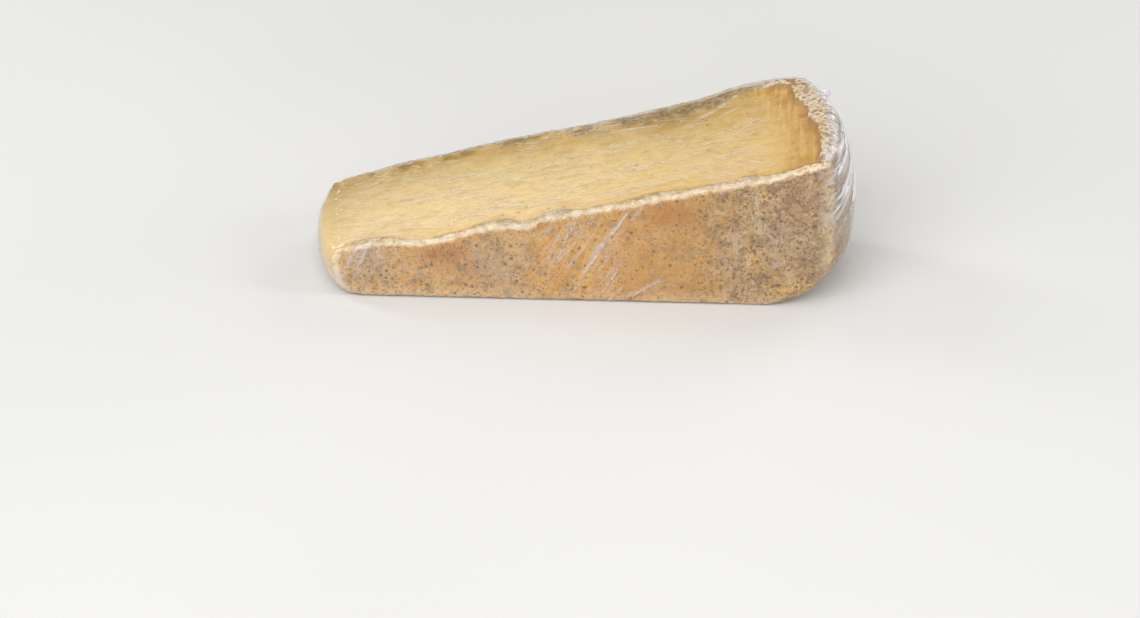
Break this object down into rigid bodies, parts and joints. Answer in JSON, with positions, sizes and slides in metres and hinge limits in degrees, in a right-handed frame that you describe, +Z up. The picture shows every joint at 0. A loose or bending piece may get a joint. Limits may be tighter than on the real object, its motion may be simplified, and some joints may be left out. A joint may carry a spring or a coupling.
{
  "type": "wrapped tomme cheese wedge",
  "caption": "Wedge of pressed mountain cheese with a natural grey-brown rind, lying on its cut face and wrapped tightly in clear film with a small twisted end.",
  "frame": {"origin": "middle of the footprint's bounding box, on the surface that the wedge lies on", "axes": "+Z up; +X along the wedge from its blunt tip to its heel; -Y towards the flat rind face that shows in the picture"},
  "size_m": [0.183, 0.0584, 0.0581],
  "materials": {
    "cheese": "waxy ivory paste with a mottled grey-brown rind",
    "film": "clear glossy stretch film with fine wrinkles"
  },
  "bodies": {
    "root": {"wrapped_wedge": "cheese"}
  },
  "joints": []
}
